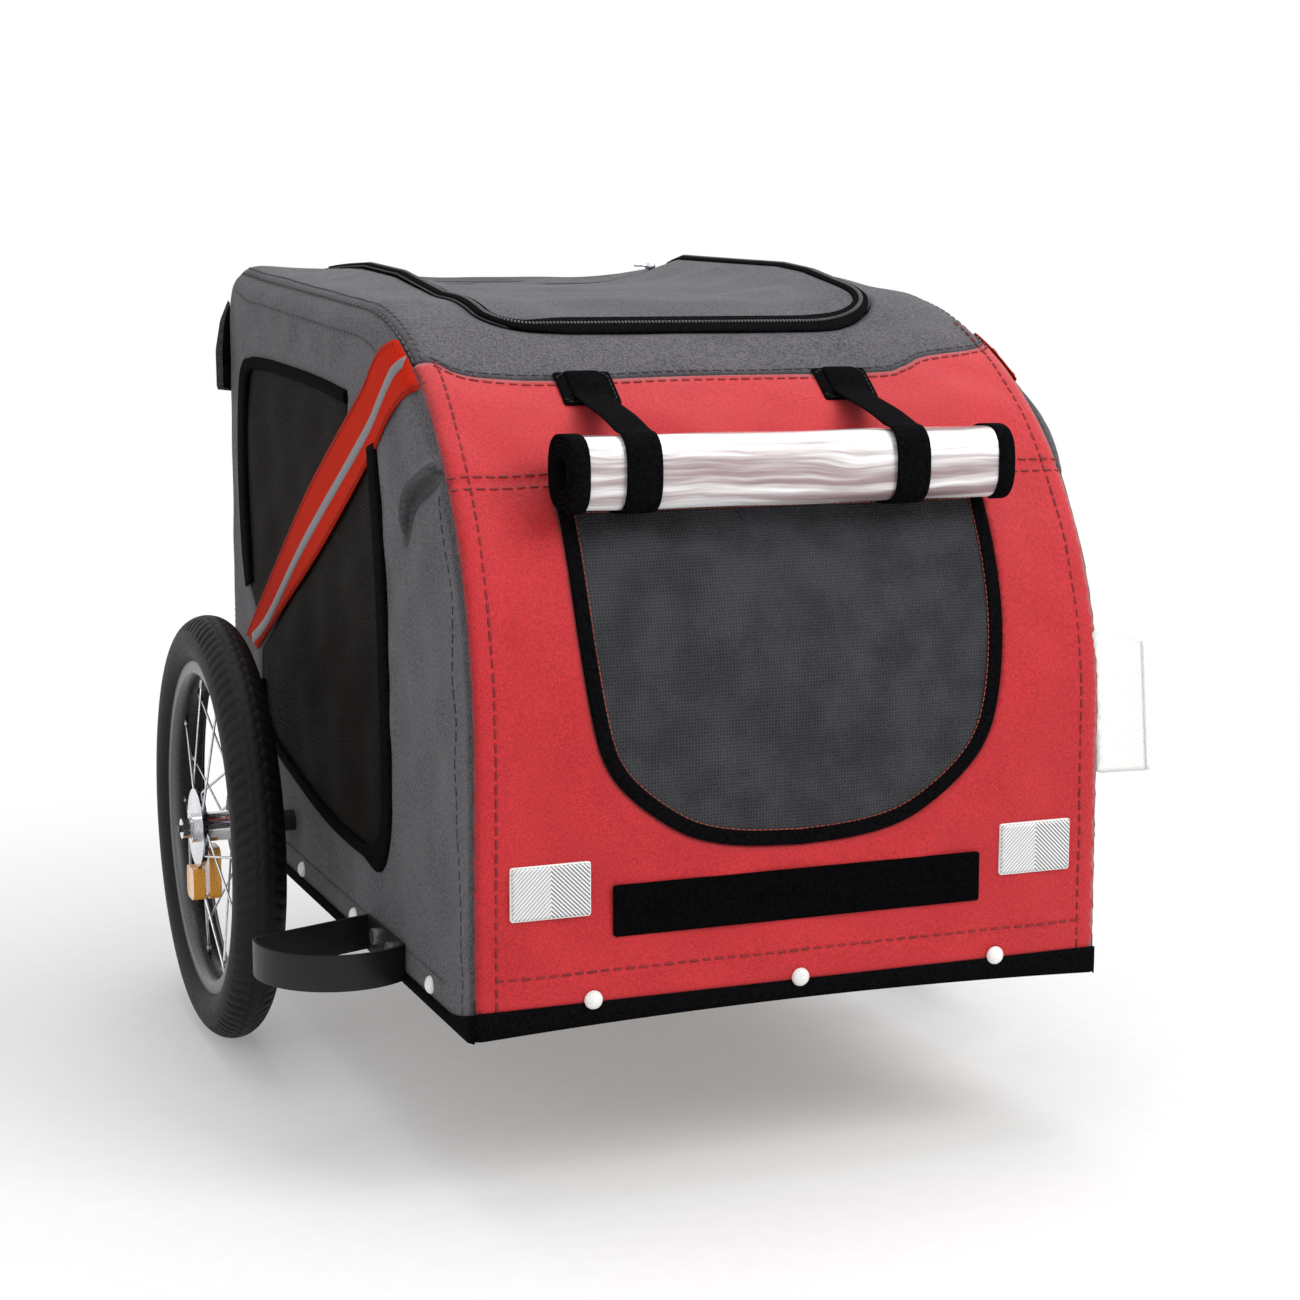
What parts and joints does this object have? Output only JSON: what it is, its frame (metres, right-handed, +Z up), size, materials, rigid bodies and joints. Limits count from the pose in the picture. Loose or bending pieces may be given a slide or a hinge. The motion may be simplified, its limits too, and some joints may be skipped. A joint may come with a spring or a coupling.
{
  "type": "dog bike trailer",
  "caption": "Two-wheeled cloth pet trailer with a mesh front door, roof hatch, rolled rain cover, spoked wheels and a folding towing arm.",
  "frame": {"origin": "on the ground below the middle of the overall box", "axes": "+X to the right seen from the front, +Y from the front door to the rear, +Z up"},
  "size_m": [0.7728, 0.83, 0.7301],
  "materials": {
    "red_oxford": "woven polyester, coated inside",
    "grey_oxford": "melange woven polyester",
    "black_mesh": "open knitted mesh",
    "black_webbing": "woven webbing and binding tape",
    "grey_tape": "reflective grey tape",
    "white_tag": "bare woven tag",
    "clear_pvc": "clear soft film, rolled",
    "coated_steel": "black powder coat",
    "zinc_steel": "zinc plated",
    "chrome": "bright chrome",
    "rim_metal": "black with a light machined ring",
    "tyre_rubber": "matt black rubber",
    "tube_rubber": "butyl rubber",
    "amber_plastic": "prismatic amber",
    "silver_reflector": "prismatic silver",
    "white_plastic": "moulded white",
    "black_plastic": "moulded black",
    "floor_ply": "thin coated plywood"
  },
  "bodies": {
    "base": {"base_side_rails": "coated_steel", "base_cross_rails": "coated_steel", "floor_board": "floor_ply", "hoop_spigots": "zinc_steel", "side_hoop_left": "coated_steel", "side_hoop_right": "coated_steel", "roof_bars": "coated_steel", "front_panel": "red_oxford", "rear_panel": "grey_oxford", "roof_panel": "grey_oxford", "side_wall_left": "grey_oxford", "side_wall_right": "grey_oxford", "side_meshes": "black_mesh", "side_bindings": "black_webbing", "diagonal_bands": "red_oxford", "diagonal_tapes": "grey_tape", "base_skirt": "black_webbing", "foot_rivets": "white_plastic", "rain_cover_roll": "clear_pvc", "rain_cover_end_bindings": "black_webbing", "rain_cover_straps": "black_webbing", "strap_patches": "black_webbing", "front_reflectors": "silver_reflector", "cover_fastening_strip": "black_webbing", "side_tag": "white_tag", "axle_blocks": "zinc_steel", "axle_receivers": "coated_steel", "stub_axles": "chrome", "guard_bolts": "zinc_steel", "hitch_bracket": "coated_steel", "tow_arm_bolt": "zinc_steel", "tow_arm_nut": "zinc_steel", "wheel_guard_left": "coated_steel", "wheel_guard_right": "coated_steel"},
    "wheel_left": {"hub_left": "chrome", "hub_bearings_left": "zinc_steel", "spokes_left": "chrome", "rim_left": "rim_metal", "tyre_left": "tyre_rubber", "inner_tube_left": "tube_rubber", "spoke_reflector_left": "amber_plastic"},
    "wheel_right": {"hub_right": "chrome", "hub_bearings_right": "zinc_steel", "spokes_right": "chrome", "rim_right": "rim_metal", "tyre_right": "tyre_rubber", "inner_tube_right": "tube_rubber", "spoke_reflector_right": "amber_plastic"},
    "button_left": {"axle_button_left": "black_plastic"},
    "button_right": {"axle_button_right": "black_plastic"},
    "front_door": {"front_door_binding": "black_webbing", "front_door_mesh": "black_mesh"},
    "hatch": {"roof_hatch": "grey_oxford", "roof_hatch_zip_tape": "black_webbing", "roof_hatch_zip_slider": "chrome"},
    "arm": {"tow_arm": "coated_steel", "coupler_pin": "zinc_steel"},
    "coupler": {"coupler_plate": "zinc_steel"}
  },
  "joints": [
    {"name": "wheel_left_spin", "type": "hinge", "parent": "base", "child": "wheel_left", "pos_m": [-0.345, 0.157, 0.2], "axis": [1, 0, 0], "continuous": true},
    {"name": "wheel_right_spin", "type": "hinge", "parent": "base", "child": "wheel_right", "pos_m": [0.345, 0.157, 0.2], "axis": [1, 0, 0], "continuous": true},
    {"name": "axle_button_left_press", "type": "slide", "parent": "base", "child": "button_left", "axis": [1, 0, 0], "range_m": [0, 0.002], "stiffness_N_per_m": 400, "springref_m": -0.002},
    {"name": "axle_button_right_press", "type": "slide", "parent": "base", "child": "button_right", "axis": [-1, 0, 0], "range_m": [0, 0.002], "stiffness_N_per_m": 400, "springref_m": -0.002},
    {"name": "front_door_open", "type": "hinge", "parent": "base", "child": "front_door", "pos_m": [0, -0.365, 0.535], "axis": [-1, 0, 0], "range_deg": [0, 65]},
    {"name": "roof_hatch_open", "type": "hinge", "parent": "base", "child": "hatch", "pos_m": [0, 0.325, 0.7244], "axis": [-1, 0, 0], "range_deg": [0, 110]},
    {"name": "tow_arm_swing", "type": "hinge", "parent": "base", "child": "arm", "pos_m": [-0.21901, -0.245, 0.118], "axis": [0, 0, -1], "range_deg": [0, 151]},
    {"name": "coupler_pitch", "type": "hinge", "parent": "arm", "child": "coupler", "pos_m": [-0.12819, 0.27005, 0.118], "axis": [0.9848, -0.1736, 0], "range_deg": [-35, 35]}
  ]
}
